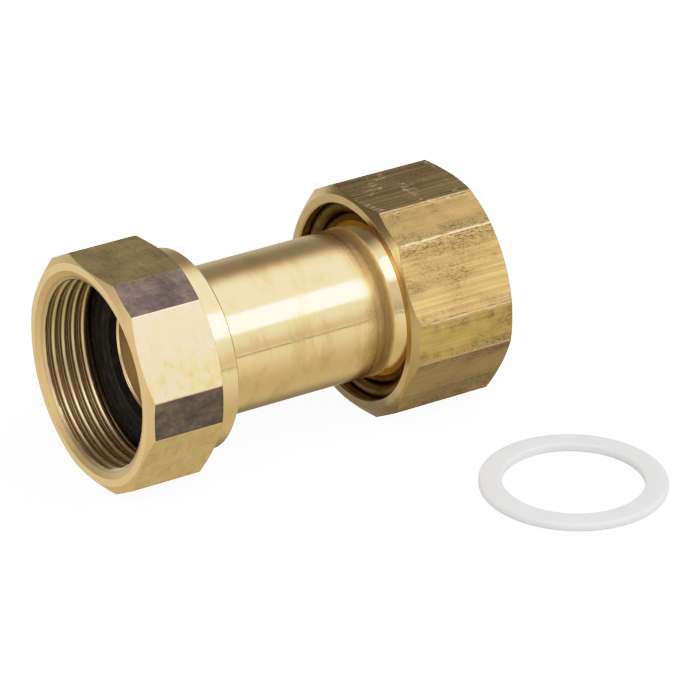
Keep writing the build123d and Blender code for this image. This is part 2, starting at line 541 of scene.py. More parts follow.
@dataclass(frozen=True)
class DrawnBrass(Finish):
    """Raw drawn bar of the right nut, with lengthwise die lines, brown oxide and worn edges.

    The spans next to the corners are in degrees round the axis.
    """

    name: str = "drawn_brass"
    colour: Colour = (0.385, 0.262, 0.097)
    brown: Colour = (0.14, 0.088, 0.036)
    bright: Colour = (0.64, 0.46, 0.27)
    olive: Colour = (0.52, 0.348, 0.112)
    olive_y: Span = (-24.45, -24.57)
    roughness: float = 0.34
    line_lean: float = 0.12
    corner_degrees: float = 19.88
    oxide_span: Span = (9.0, 2.0)
    scuff_span: Span = (3.6, 0.4)
    burr_span: Span = (0.48, 0.14)
    groove_span: Span = (0.5, 0.12)
    groove_offset: float = 1.1

    def dress(self, graph: Graph, surface: Surface) -> Sockets:
        """Brass with lines along the bar, patches of oxide and rubbed corners."""
        lines = surface.noise(0.012, 1.3, 4.0)
        fine = surface.noise(0.03, 6.5, 2.0, (5.0, 1.0, 3.0))
        patch = surface.noise(0.07, 0.14, 3.0, (2.0, 6.0, 4.0)).smooth(0.4, 0.66)
        mottle = surface.noise(1.4, 4.2, 4.0, (7.0, 3.0, 5.0)).smooth(0.42, 0.68)
        signed, distance = surface.edge_angle(self.corner_degrees)
        worn = surface.noise(0.3, 0.12, 3.0, (6.0, 5.0, 1.0))
        by_corner = distance.smooth(*self.oxide_span) * worn.smooth(0.42, 0.56) * 0.7
        brown_amount = (patch + by_corner) * (0.3 + mottle * 0.7)
        pits = surface.noise(1.6, 3.0, 3.0, (1.0, 8.0, 2.0)).smooth(0.64, 0.72)
        top = surface.top_flat()
        scratch = surface.noise(0.4, 4.0, 1.0, (9.0, 4.0, 8.4)).smooth(0.57, 0.63)
        scratched = scratch * worn.smooth(0.52, 0.6) * (0.1 + top * 0.9)
        burr = distance.smooth(*self.burr_span) * worn.smooth(0.38, 0.52)
        scuffs = distance.smooth(*self.scuff_span) * fine.smooth(0.47, 0.57) * worn.smooth(0.4, 0.52)
        groove = abs(signed + self.groove_offset).smooth(*self.groove_span) * worn.smooth(0.46, 0.56)
        tone = 1.0 + (lines - 0.5) * (0.6 + top * 2.4) + (fine - 0.5) * (0.45 + top * 1.2)
        clean = graph.mix(surface.y.smooth(*self.olive_y), self.colour, self.olive)
        metal = graph.scaled(graph.mix(brown_amount * 0.85, clean, self.brown), tone)
        marked = graph.mix(pits * 0.3 + groove * 0.7, metal, self.brown)
        lean = (fine + lines - 1.0) * self.line_lean - scratched * 0.2
        return {
            "Base Color": graph.mix(burr * 0.7 + scratched + scuffs * 0.5, marked, self.bright),
            "Metallic": 1.0,
            "Roughness": self.roughness + brown_amount * 0.12 + (fine - 0.5) * 0.15,
            "Normal": surface.leaned(AXIS, lean),
        }


@dataclass(frozen=True)
class ThreadBrass(Finish):
    """Cut thread: bright crests, and grooves darkened with painted shade."""

    name: str = "cut_thread_brass"
    # Colour darkened as painted shade inside the nut; the groove colour is painted shade at the thread's
    # roots
    colour: Colour = (0.59, 0.445, 0.24)
    groove: Colour = (0.11, 0.07, 0.028)
    mouth: Colour = (0.68, 0.475, 0.215)
    mouth_x: Span = (0.5, 0.2)
    depth_radius: Span = (19.8, 20.75)
    roughness: float = 0.3

    def dress(self, graph: Graph, surface: Surface) -> Sockets:
        """Brass with painted shade that darkens it towards the bottom of the thread, golden on the mouth's
        chamfer.
        """
        depth = surface.radius.smooth(*self.depth_radius)
        chatter = surface.noise(2.5, 0.6, 3.0)
        # Painted shade: the colour darkens towards the roots of the thread
        cut = graph.mix(depth * 0.92, self.colour, self.groove)
        colour = graph.mix(surface.x.smooth(*self.mouth_x), cut, self.mouth)
        return {
            "Base Color": graph.scaled(colour, 1.0 + (chatter - 0.5) * 0.3),
            "Metallic": 1.0,
            "Roughness": self.roughness + depth * 0.15 + (chatter - 0.5) * 0.12,
        }


@dataclass(frozen=True)
class DrawnWire(Finish):
    """Dull drawn brass wire, darkened as painted shade for the narrow gap that it lies in."""

    name: str = "brass_wire"
    # Dark colour: painted shade for the gap between sleeve and nut
    colour: Colour = (0.15, 0.108, 0.046)
    dark: Colour = (0.09, 0.063, 0.028)
    rim: Colour = (0.25, 0.18, 0.09)
    roughness: float = 0.4

    def dress(self, graph: Graph, surface: Surface) -> Sockets:
        """Brass with soft brown patches."""
        patch = surface.noise(0.8, 0.3, 4.0)
        return {
            "Base Color": graph.mix(patch.smooth(0.4, 0.68), self.colour, self.dark),
            "Metallic": 1.0,
            "Roughness": self.roughness + (patch - 0.5) * 0.2,
            "Specular Tint": (*self.rim, 1.0),
        }


@dataclass(frozen=True)
class BlackRubber(Finish):
    """Matte black rubber with a faint brown bloom."""

    name: str = "black_rubber"
    colour: Colour = (0.006, 0.0055, 0.005)
    bloom: Colour = (0.02, 0.016, 0.012)
    roughness: float = 0.55

    def dress(self, graph: Graph, surface: Surface) -> Sockets:
        """Rubber with fine grain."""
        bloom = surface.noise(0.5, 0.5, 4.0)
        grain = surface.noise(6.0, 6.0, 2.0)
        return {
            "Base Color": graph.mix(bloom.smooth(0.45, 0.7), self.colour, self.bloom),
            "Roughness": self.roughness + (grain - 0.5) * 0.2,
            "Specular IOR Level": 0.3,
            "Normal": graph.bump(grain, 0.3, 0.03),
        }


@dataclass(frozen=True)
class WhitePlastic(Finish):
    """Slightly translucent white plastic."""

    name: str = "white_plastic"
    colour: Colour = (0.72, 0.72, 0.72)
    cloudy: Colour = (0.67, 0.67, 0.665)
    roughness: float = 0.38

    def dress(self, graph: Graph, surface: Surface) -> Sockets:
        """Milky plastic with faint clouds, rings and moulding waves."""
        cloud = surface.noise(0.12, 0.12, 3.0)
        wave = surface.noise(0.8, 0.8, 2.0)
        across = surface.x - FLAT_GASKET_CENTRE[0]
        along = surface.y - FLAT_GASKET_CENTRE[1]
        rings = graph.line_noise(across.diagonal(along), 1.1, 2.0)
        plastic = graph.mix(cloud.smooth(0.35, 0.65), self.colour, self.cloudy)
        return {
            "Base Color": graph.scaled(plastic, 1.0 + (rings - 0.5) * 0.12),
            "Roughness": self.roughness + (wave - 0.5) * 0.15,
            "Subsurface Weight": 0.6,
            "Subsurface Radius": (1.0, 1.0, 1.0),
            "Subsurface Scale": 3.0 * MM,
            "Normal": graph.bump(wave, 0.25, 0.05),
        }


# Sections and meshes


def linked(name: str, data: bpy.types.ID) -> bpy.types.Object:
    """New object with this mesh, light or camera, linked to the scene."""
    made = bpy.data.objects.new(name, data)
    bpy.context.scene.collection.objects.link(made)
    return made


@dataclass(frozen=True)
class Corner:
    """One corner of a section in the half-plane through the axis.

    The finish is that of the run from this corner to the next.
    """

    x: Number
    radius: Number
    soft: float
    finish: int = 0


@dataclass
class Rows:
    """Rows of a mesh: places along the axis and radii, by row and column."""

    x: np.ndarray
    radius: np.ndarray
    finish: List[int]


def softened(corners: Sequence[Corner], columns: int, steps: int = 4) -> Rows:
    """Rows that follow a chain of corners, with each inner corner rounded between two guard rows.

    Args:
        corners: The chain. Its two ends stay sharp.
        columns: Number of columns of the mesh.
        steps: Segments in each rounding.

    Returns:
        The rows in the chain's order.
    """
    spread = [[np.broadcast_to(c.x, columns), np.broadcast_to(c.radius, columns)] for c in corners]
    places = np.array(spread, float)
    rows: List[np.ndarray] = [places[0]]
    finish: List[int] = []
    for index in range(1, len(corners) - 1):
        here = places[index]
        soft = corners[index].soft
        sides = [places[index + step] - here for step in (-1, 1)]
        lengths = [np.maximum(np.hypot(*side), SHORTEST_SIDE) for side in sides]
        back, ahead = (side / length for side, length in zip(sides, lengths))
        reach = np.minimum(soft, SOFT_SHARE * np.minimum(*lengths))
        guards = [np.minimum(GUARD_REACH * soft, GUARD_SHARE * length) for length in lengths]
        chain = [here + back * guards[0]]
        for t in np.linspace(0.0, 1.0, steps + 1):
            chain.append(here + back * (reach * (1.0 - t) ** 2) + ahead * (reach * t**2))
        chain.append(here + ahead * guards[1])
        before = len(chain) // 2 + 1
        finish += [corners[index - 1].finish] * before
        finish += [corners[index].finish] * (len(chain) - before)
        rows += chain
    rows.append(places[-1])
    finish.append(corners[-2].finish)
    stack = np.array(rows)
    return Rows(stack[:, 0], stack[:, 1], finish)


def section_mesh(
    name: str,
    angles: np.ndarray,
    rows: Rows,
    finishes: Sequence[Finish],
    facet_finish: Optional[Dict[int, np.ndarray]] = None,
) -> bpy.types.Object:
    """Object swept round the axis, whose rows close into a section in each column.

    Args:
        name: Name of the piece.
        angles: Angle of each column.
        rows: The rows, the last of which joins the first.
        finishes: Finish of each finish number.
        facet_finish: For a finish number, the number to use instead in each column.

    Returns:
        The linked object, in metres.
    """
    count, columns = rows.x.shape
    points = np.stack([rows.x, rows.radius * np.cos(angles), rows.radius * np.sin(angles)], axis=-1) * MM
    made = bmesh.new()
    grid = [[made.verts.new(p) for p in row] for row in points]
    numbers = list(rows.finish) + [rows.finish[-1]] * (count - len(rows.finish))
    for i in range(count):
        ahead = (i + 1) % count
        for j in range(columns - 1):
            face = made.faces.new((grid[i][j], grid[i][j + 1], grid[ahead][j + 1], grid[ahead][j]))
            number = numbers[i]
            if facet_finish and number in facet_finish:
                number = int(facet_finish[number][j])
            face.material_index = number
            face.smooth = True
    bmesh.ops.remove_doubles(made, verts=made.verts, dist=WELD_DISTANCE * MM)
    bmesh.ops.dissolve_degenerate(made, edges=made.edges, dist=WELD_DISTANCE * MM)
    bmesh.ops.recalc_face_normals(made, faces=made.faces)
    mesh = bpy.data.meshes.new(name)
    made.to_mesh(mesh)
    made.free()
    for finish in finishes:
        mesh.materials.append(finish.material())
    mesh.set_sharp_from_angle(angle=SHARP_ANGLE)
    return linked(name, mesh)


def turned_piece(
    name: str,
    seam: Corner,
    ring: Sequence[Corner],
    finishes: Sequence[Finish],
    steps: int = 4,
) -> bpy.types.Object:
    """Object of revolution about the axis.

    Args:
        name: Name of the piece.
        seam: Place in the wall of its hole where the section starts and ends.
        ring: The section's corners, from the seam round to the seam.
        finishes: Finish of each finish number.
        steps: Segments in each rounding.

    Returns:
        The linked object, in metres.
    """
    angles = np.linspace(0.0, 2.0 * math.pi, TURN_COLUMNS + 1)
    return section_mesh(name, angles, softened([seam, *ring, seam], len(angles), steps), finishes)


@dataclass(frozen=True)
class BarOutline:
    """Twelve-sided bar with wide flats facing up and down and narrow facets at its corners."""

    across_flats: float = 47.0
    across_corner_facets: float = 49.6
    corner_soft: float = 0.22
    flat_divisions: int = 18
    facet_divisions: int = 8
    corner_steps: int = 4

    def half_width(self, wide: bool) -> float:
        """Half the width of a wide flat or of a narrow facet."""
        near, far = self.across_flats / 2, self.across_corner_facets / 2
        if not wide:
            near, far = far, near
        return (far - near * math.cos(SIDE_TURN)) / math.sin(SIDE_TURN)

    def columns(self) -> Tuple[np.ndarray, np.ndarray, np.ndarray]:
        """Columns round the bar, starting in the middle of the narrow facet that faces +Y.

        Returns:
            Angles, distances from the axis, and whether each column starts a strip of a wide flat.
        """
        points: List[np.ndarray] = []
        wides: List[bool] = []
        for step in range(BAR_SIDES + 1):
            wide = step % 2 == 1
            half = self.half_width(wide)
            distance = (self.across_flats if wide else self.across_corner_facets) / 2
            turn = step * SIDE_TURN
            out = np.array([math.cos(turn), math.sin(turn)])
            along = np.array([-math.sin(turn), math.cos(turn)])
            flat_end = half - self.corner_soft
            divisions = self.flat_divisions if wide else self.facet_divisions
            guard = half - GUARD_REACH * self.corner_soft
            places = np.concatenate([[-flat_end], np.linspace(-guard, guard, divisions + 1), [flat_end]])
            if step == 0:
                places = places[places >= 0]
            if step == BAR_SIDES:
                places = places[places <= 0]
            points += [out * distance + along * place for place in places]
            wides += [wide] * len(places)
            if step == BAR_SIDES:
                break
            corner = out * distance + along * half
            next_turn = turn + SIDE_TURN
            ahead = np.array([-math.sin(next_turn), math.cos(next_turn)])
            for t in np.linspace(0.0, 1.0, self.corner_steps + 1)[1:-1]:
                back_share = self.corner_soft * (1.0 - t) ** 2
                ahead_share = self.corner_soft * t**2
                points.append(corner - along * back_share + ahead * ahead_share)
                wides.append(wide if t < 0.5 else not wide)
        stack = np.array(points)
        angles = np.unwrap(np.arctan2(stack[:, 1], stack[:, 0]))
        return angles, np.hypot(stack[:, 0], stack[:, 1]), np.array(wides)


@dataclass(frozen=True)
class PipeThread:
    """Right-hand internal pipe thread of 55 degrees, with crests that are rounder than its roots.

    The phases are the places of the rows from a root to a land, in shares of half a pitch.
    """

    major_radius: float = 20.955
    minor_radius: float = 19.475
    pitch: float = 2.309
    flank_angle: float = math.radians(27.5)
    crest_round: float = 0.8
    root_round: float = 0.317
    mouth_radius: float = 21.6
    mouth_chamfer: float = 0.7
    phases: Tuple[float, ...] = (-1.0, -0.92, -0.84, -0.75, -0.66, -0.58, -0.48, -0.36, -0.24, -0.12, 0.0)

    def mouth_slope(self) -> float:
        """Radius that the mouth's chamfer loses for each millimetre along the axis."""
        return (self.mouth_radius - self.major_radius) / self.mouth_chamfer

    def radius(self, offset: np.ndarray) -> np.ndarray:
        """Radius of the thread by the distance from the middle of a land.

        Args:
            offset: Axial distance from a land, in any turn.

        Returns:
            The radius at that distance.
        """
        half = self.pitch / 2
        place = np.abs((offset + half) % self.pitch - half)
        run, rise = math.cos(self.flank_angle), 1.0 - math.sin(self.flank_angle)
        slope = 1.0 / math.tan(self.flank_angle)
        crest_run, crest_rise = self.crest_round * run, self.crest_round * rise
        root_run, root_drop = self.root_round * run, self.root_round * rise
        flank_end = half - root_run
        bottom = crest_rise + slope * (flank_end - crest_run) + root_drop
        crest_arch = np.sqrt(np.maximum(self.crest_round**2 - place**2, 0.0))
        crest = self.crest_round - crest_arch
        flank = crest_rise + slope * (place - crest_run)
        root_arch = np.sqrt(np.maximum(self.root_round**2 - (half - place) ** 2, 0.0))
        root = bottom - self.root_round + root_arch
        shape = np.where(place < crest_run, crest, np.where(place < flank_end, flank, root))
        return self.minor_radius + shape

    def rows(
        self, mouth_x: float, end_x: float, land_x: float, angles: np.ndarray
    ) -> Tuple[np.ndarray, np.ndarray]:
        """Rows of the thread from its mouth to its inner end, following the helix.

        Args:
            mouth_x: Place of the mouth.
            end_x: Place of the inner end, on either side of the mouth.
            land_x: Place of a land at angle 0.
            angles: Angle of each column.

        Returns:
            Places along the axis and radii, by row and column.
        """
        rising = np.array(self.phases)
        phases = np.concatenate([rising, -rising[-2:0:-1]]) * self.pitch / 2
        low, high = min(mouth_x, end_x), max(mouth_x, end_x)
        first = math.floor((low - land_x) / self.pitch) - 1
        last = math.ceil((high - land_x) / self.pitch) + 1
        starts = np.concatenate([land_x + self.pitch * turn + phases for turn in range(first, last + 1)])
        advance = self.pitch * angles[None, :] / (2.0 * math.pi)
        x = np.clip(starts[:, None] + advance, low, high)
        shape = self.radius(x - land_x - advance)
        entry = self.mouth_radius - np.abs(x - mouth_x) * self.mouth_slope()
        radius = np.maximum(shape, entry)
        if mouth_x > end_x:
            return x[::-1], radius[::-1]
        return x, radius


class NutFinish(IntEnum):
    """Finish numbers of a nut's faces."""

    TURNED = 0
    WIDE_FLAT = 1
    NARROW_FACET = 2
    THREAD = 3
    INSIDE = 4
    CHAMFER = 5


@dataclass(frozen=True)
class UnionNut:
    """What both nuts share: the bar, the thread and the chamfers."""

    bar: BarOutline = BarOutline()
    thread: PipeThread = PipeThread()
    chamfer_slope: float = math.tan(math.radians(30.0))
    edge_soft: float = 0.1
    root_soft: float = 0.2
    mouth_step: float = 0.02

    def mouth_corner(self, mouth_x: float, step: float) -> Corner:
        """Last corner of a chain, on the mouth's chamfer, one small step inside the mouth."""
        radius = self.thread.mouth_radius - abs(step) * self.thread.mouth_slope()
        return Corner(mouth_x + step, radius, 0.0, NutFinish.TURNED)

    def joined(self, corners: Sequence[Corner], thread_x: np.ndarray, thread_radius: np.ndarray) -> Rows:
        """Closes the section by adding the thread after a chain that ends at the mouth.

        Args:
            corners: Chain from the inner end of the thread round to the mouth.
            thread_x: Places of the thread's rows, the first of which lies on the mouth.
            thread_radius: Radii of the thread's rows.

        Returns:
            All rows of the nut.
        """
        chain = softened(corners, thread_x.shape[1])
        x = np.concatenate([chain.x, thread_x[1:]])
        radius = np.concatenate([chain.radius, thread_radius[1:]])
        finish = chain.finish + [int(NutFinish.THREAD)] * (len(x) - len(chain.finish))
        return Rows(x, radius, finish)

    def piece(self, name: str, rows: Rows, finishes: Sequence[Finish]) -> bpy.types.Object:
        """Makes the nut's object from its rows.

        Args:
            name: Name of the piece.
            rows: All rows of the nut.
            finishes: Finishes in the order of NutFinish.

        Returns:
            The linked object.
        """
        angles, _, wide = self.bar.columns()
        facets = np.where(wide, int(NutFinish.WIDE_FLAT), int(NutFinish.NARROW_FACET))
        return section_mesh(name, angles, rows, finishes, {int(NutFinish.WIDE_FLAT): facets})


@dataclass(frozen=True)
class LeftUnionNut(UnionNut):
    """Nut with a round neck that closes on the back of the sleeve's left flange."""

    thread: PipeThread = PipeThread(mouth_chamfer=0.35)
    mouth_x: float = -0.35
    front_ring_radius: float = 23.2
    front_slope: float = math.tan(math.radians(28.0))
    hex_end_x: float = 17.2
    neck_radius: float = 21.2
    neck_end_x: float = 22.6
    neck_chamfer: float = 0.5
    neck_root_soft: float = 0.25
    thread_end_x: float = 11.1
    relief_radius: float = 21.3
    shoulder_x: float = 14.35
    flange_bore_radius: float = 19.5
    lip_x: float = 17.6
    lip_bore_radius: float = 16.05
    lip_inner_chamfer: float = 0.6
    lip_outer_chamfer: float = 0.3
    first_land_x: float = 0.9

    def rows(self) -> Rows:
        """Rows of the nut's section.

        Returns:
            The closed section in every column.
        """
        angles, reach, _ = self.bar.columns()
        turned, flat, inside = NutFinish.TURNED, NutFinish.WIDE_FLAT, NutFinish.INSIDE
        chamfer = NutFinish.CHAMFER
        flat_radius = self.bar.across_flats / 2
        soft, root_soft = self.edge_soft, self.root_soft
        bore = self.lip_bore_radius
        thread_x, thread_radius = self.thread.rows(self.mouth_x, self.thread_end_x, self.first_land_x, angles)
        corners = [
            Corner(self.thread_end_x, thread_radius[-1], soft, inside),
            Corner(self.thread_end_x, self.relief_radius, root_soft, inside),
            Corner(self.shoulder_x, self.relief_radius, root_soft, inside),
            Corner(self.shoulder_x, self.flange_bore_radius, soft, inside),
            Corner(self.lip_x, self.flange_bore_radius, root_soft, inside),
            Corner(self.lip_x, bore + self.lip_inner_chamfer, soft, inside),
            Corner(self.lip_x + self.lip_inner_chamfer, bore, soft, inside),
            Corner(self.neck_end_x - self.lip_outer_chamfer, bore, soft, turned),
            Corner(self.neck_end_x, bore + self.lip_outer_chamfer, soft, turned),
            Corner(self.neck_end_x, self.neck_radius - self.neck_chamfer, soft, turned),
            Corner(self.neck_end_x - self.neck_chamfer, self.neck_radius, soft, turned),
            Corner(self.hex_end_x, self.neck_radius, self.neck_root_soft, turned),
            Corner(self.hex_end_x, flat_radius, soft, turned),
            Corner(self.hex_end_x - (reach - flat_radius) * self.chamfer_slope, reach, soft, flat),
            Corner(self.mouth_x + (reach - self.front_ring_radius) * self.front_slope, reach, soft, chamfer),
            Corner(self.mouth_x, self.front_ring_radius, soft, turned),
            Corner(self.mouth_x, self.thread.mouth_radius, soft, turned),
            self.mouth_corner(self.mouth_x, self.mouth_step),
        ]
        return self.joined(corners, thread_x, thread_radius)

    def build(self) -> bpy.types.Object:
        """Makes the nut.

        Returns:
            The piece, riding on its body.
        """
        finishes = [
            TurnedBrass("left_nut_turned_brass"),
            MilledBrass(),
            RawSkin(),
            ThreadBrass("left_cut_thread"),
            InsideBrass("left_nut_inside_brass"),
            TurnedBrass("left_nut_chamfer_brass", roughness=0.5),
        ]
        piece = self.piece("left_nut_with_neck", self.rows(), finishes)
        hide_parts("left_union_nut")
        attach(piece, "left_nut")
        return piece


@dataclass(frozen=True)
class RightUnionNut(UnionNut):
    """Nut with a grooved lip for the snap ring, a guiding land and the thread."""

    bar: BarOutline = BarOutline(across_corner_facets=49.2)
    lip_x: float = 62.331
    lip_ring_radius: float = 22.9
    lip_bore_radius: float = 21.0
    lip_chamfer: float = 0.3
    groove_start_x: float = 64.531
    groove_end_x: float = 67.493
    groove_radius: float = 22.0
    land_end_x: float = 72.593
    relief_end_x: float = 74.593
    relief_radius: float = 21.3
    mouth_x: float = 86.893
    front_ring_radius: float = 23.4
    first_land_x: float = 76.1

    def rows(self) -> Rows:
        """Rows of the nut's section.

        Returns:
            The closed section in every column.
        """
        angles, reach, _ = self.bar.columns()
        turned, flat, inside = NutFinish.TURNED, NutFinish.WIDE_FLAT, NutFinish.INSIDE
        soft, root_soft = self.edge_soft, self.root_soft
        land_radius = self.thread.minor_radius
        thread_x, thread_radius = self.thread.rows(self.mouth_x, self.relief_end_x, self.first_land_x, angles)
        corners = [
            Corner(self.relief_end_x, thread_radius[-1], soft, inside),
            Corner(self.relief_end_x, self.relief_radius, root_soft, inside),
            Corner(self.land_end_x, self.relief_radius, root_soft, inside),
            Corner(self.land_end_x, land_radius, soft, inside),
            Corner(self.groove_end_x, land_radius, soft, inside),
            Corner(self.groove_end_x, self.groove_radius, root_soft, inside),
            Corner(self.groove_start_x, self.groove_radius, root_soft, inside),
            Corner(self.groove_start_x, self.lip_bore_radius, soft, inside),
            Corner(self.lip_x + self.lip_chamfer, self.lip_bore_radius, soft, turned),
            Corner(self.lip_x, self.lip_bore_radius + self.lip_chamfer, soft, turned),
            Corner(self.lip_x, self.lip_ring_radius, soft, turned),
            Corner(self.lip_x + (reach - self.lip_ring_radius) * self.chamfer_slope, reach, soft, flat),
            Corner(self.mouth_x - (reach - self.front_ring_radius) * self.chamfer_slope, reach, soft, turned),
            Corner(self.mouth_x, self.front_ring_radius, soft, turned),
            Corner(self.mouth_x, self.thread.mouth_radius, soft, turned),
            self.mouth_corner(self.mouth_x, -self.mouth_step),
        ]
        return self.joined(corners, thread_x, thread_radius)

    def build(self) -> bpy.types.Object:
        """Makes the nut.

        Returns:
            The piece, riding on its body.
        """
        drawn = DrawnBrass()
        finishes = [
            LipBrass(),
            drawn,
            drawn,
            ThreadBrass("right_cut_thread", mouth_x=(86.0, 86.3)),
            InsideBrass("right_nut_inside_brass"),
        ]
        piece = self.piece("right_nut_with_lip", self.rows(), finishes)
        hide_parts("right_union_nut")
        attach(piece, "right_nut")
        return piece


class SleeveFinish(IntEnum):
    """Finish numbers of the sleeve's faces."""

    OUTSIDE = 0
    BORE = 1


@dataclass(frozen=True)
class Sleeve:
    """Tube with a flat flange at the left and a conical shoulder with a flange at the right."""

    start_x: float = 14.2
    flange_back_x: float = 17.45
    cone_start_x: float = 62.65
    cone_end_x: float = 67.72
    end_x: float = 70.02
    bore_radius: float = 13.25
    tube_radius: float = 15.75
    left_flange_radius: float = 19.2
    right_flange_radius: float = 19.3
    edge_chamfer: float = 0.4
    edge_soft: float = 0.1
    root_fillet: float = 0.6
    cone_start_soft: float = 0.5
    cone_end_soft: float = 0.15

    def build(self) -> bpy.types.Object:
        """Makes the sleeve.

        Returns:
            The piece, riding on its body.
        """
        edge, soft = self.edge_chamfer, self.edge_soft
        left, right, bore = self.left_flange_radius, self.right_flange_radius, self.bore_radius
        ring = [
            Corner(self.start_x + edge, bore, soft),
            Corner(self.start_x, bore + edge, soft),
            Corner(self.start_x, left - edge, soft),
            Corner(self.start_x + edge, left, soft),
            Corner(self.flange_back_x, left, soft),
            Corner(self.flange_back_x, self.tube_radius, self.root_fillet),
            Corner(self.cone_start_x, self.tube_radius, self.cone_start_soft),
            Corner(self.cone_end_x, right, self.cone_end_soft),
            Corner(self.end_x - edge, right, soft),
            Corner(self.end_x, right - edge, soft),
            Corner(self.end_x, bore + edge, soft),
            Corner(self.end_x - edge, bore, soft, SleeveFinish.BORE),
        ]
        seam = Corner((self.start_x + self.end_x) / 2, bore, 0.0, SleeveFinish.BORE)
        piece = turned_piece("flanged_sleeve", seam, ring, [SleeveBrass(), BoreBrass()])
        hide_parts("sleeve")
        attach(piece, "sleeve")
        return piece


@dataclass(frozen=True)
class SnapRing:
    """Split ring of round wire that holds the right nut on the sleeve."""

    middle_x: float = 65.843
    ring_radius: float = 20.0
    wire_radius: float = 1.5
    split_gap: float = 4.0
    split_angle: float = math.radians(-30.0)
    end_soft: float = 0.25
    ring_steps: int = 160
    wire_steps: int = 32

    def build(self) -> bpy.types.Object:
        """Makes the ring, whose end columns close to points in the middle of the wire's ends.

        Returns:
            The piece, riding on its body.
        """
        half_gap = self.split_gap / self.ring_radius / 2
        start = self.split_angle + half_gap
        end = self.split_angle + 2.0 * math.pi - half_gap
        rim = self.end_soft / self.ring_radius
        along = np.linspace(start + rim, end - rim, self.ring_steps)
        angles = np.concatenate([[start, start], along, [end, end]])
        wire = np.full(len(angles), self.wire_radius)
        wire[[0, -1]] = 0.0
        wire[[1, -2]] = self.wire_radius - self.end_soft
        around = np.linspace(0.0, 2.0 * math.pi, self.wire_steps, endpoint=False)[:, None]
        x = self.middle_x + wire * np.sin(around)
        radius = self.ring_radius + wire * np.cos(around)
        rows = Rows(x, radius, [0] * self.wire_steps)
        piece = section_mesh("split_wire_ring", angles, rows, [DrawnWire()])
        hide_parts("snap_ring")
        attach(piece, "snap_ring")
        return piece


@dataclass(frozen=True)
class RubberGasket:
    """Black gasket against the left flange, with two low sealing ridges on its open face."""

    start_x: float = 12.05
    end_x: float = 14.2
    radius: float = 20.8
    hole_radius: float = 13.8
    edge_soft: float = 0.3
    ridge_radii: Tuple[float, float] = (16.1, 18.6)
    ridge_half_width: float = 0.5
    ridge_depth: float = 0.18
    ridge_foot_soft: float = 0.15
    ridge_top_soft: float = 0.3

    def build(self) -> bpy.types.Object:
        """Makes the gasket.

        Returns:
            The piece, riding on its body.
        """
        soft = self.edge_soft
        face_x = self.start_x + self.ridge_depth
        ring = [Corner(face_x, self.hole_radius, soft)]
        for middle in self.ridge_radii:
            ring.append(Corner(face_x, middle - self.ridge_half_width, self.ridge_foot_soft))
            ring.append(Corner(self.start_x, middle, self.ridge_top_soft))
            ring.append(Corner(face_x, middle + self.ridge_half_width, self.ridge_foot_soft))
        ring.append(Corner(face_x, self.radius, soft))
        ring.append(Corner(self.end_x, self.radius, soft))
        ring.append(Corner(self.end_x, self.hole_radius, soft))
        seam = Corner((self.start_x + self.end_x) / 2, self.hole_radius, 0.0)
        piece = turned_piece("black_gasket", seam, ring, [BlackRubber()])
        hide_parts("rubber_gasket")
        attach(piece, "sleeve")
        return piece


@dataclass(frozen=True)
class FlatGasket:
    """Loose white gasket lying beside the fitting."""

    thickness: float = 1.9
    radius: float = 19.4
    hole_radius: float = 14.55
    edge_soft: float = 0.75
    edge_steps: int = 8

    def build(self) -> bpy.types.Object:
        """Makes the gasket round the common axis, then lays it flat on the floor.

        Returns:
            The piece, riding on its body.
        """
        soft = self.edge_soft
        seam = Corner(self.thickness / 2, self.hole_radius, 0.0)
        ring = [
            Corner(0.0, self.hole_radius, soft),
            Corner(0.0, self.radius, soft),
            Corner(self.thickness, self.radius, soft),
            Corner(self.thickness, self.hole_radius, soft),
        ]
        piece = turned_piece("white_gasket", seam, ring, [WhitePlastic()], self.edge_steps)
        middle = Vector((*FLAT_GASKET_CENTRE, FLOOR_Z)) * MM
        for vertex in piece.data.vertices:
            vertex.co = vertex.co.zyx + middle
        # Swapping two axes has turned the faces inside out
        piece.data.flip_normals()
        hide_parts("flat_gasket")
        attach(piece, "sleeve")
        piece.visible_glossy = False
        return piece


# Studio


@dataclass(frozen=True)
class Softbox:
    """Evenly lit panel that faces the object and that the camera doesn't see."""

    name: str
    azimuth: float
    elevation: float
    half_width: float
    half_height: float
    brightness: float
    distance: float = 1.2
    aim: Place = (0.045, 0.0, 0.0)

    def direction(self) -> Vector:
        """Direction from the object to the panel. Azimuth 0 is the front, -Y, and +90 the right, +X."""
        azimuth, elevation = math.radians(self.azimuth), math.radians(self.elevation)
        level = math.cos(elevation)
        return Vector((math.sin(azimuth) * level, -math.cos(azimuth) * level, math.sin(elevation)))

    def build(self) -> None:
        """Hangs the panel with a size that fills its half angles, in degrees."""
        light = bpy.data.lights.new(self.name, "AREA")
        light.shape = "RECTANGLE"
        light.size = 2.0 * self.distance * math.tan(math.radians(self.half_width))
        light.size_y = 2.0 * self.distance * math.tan(math.radians(self.half_height))
        light.energy = self.brightness * math.pi * light.size * light.size_y
        panel = linked(self.name, light)
        direction = self.direction()
        panel.location = Vector(self.aim) + direction * self.distance
        panel.rotation_mode = "QUATERNION"
        panel.rotation_quaternion = (-direction).to_track_quat("-Z", "Y")
        panel.visible_camera = False


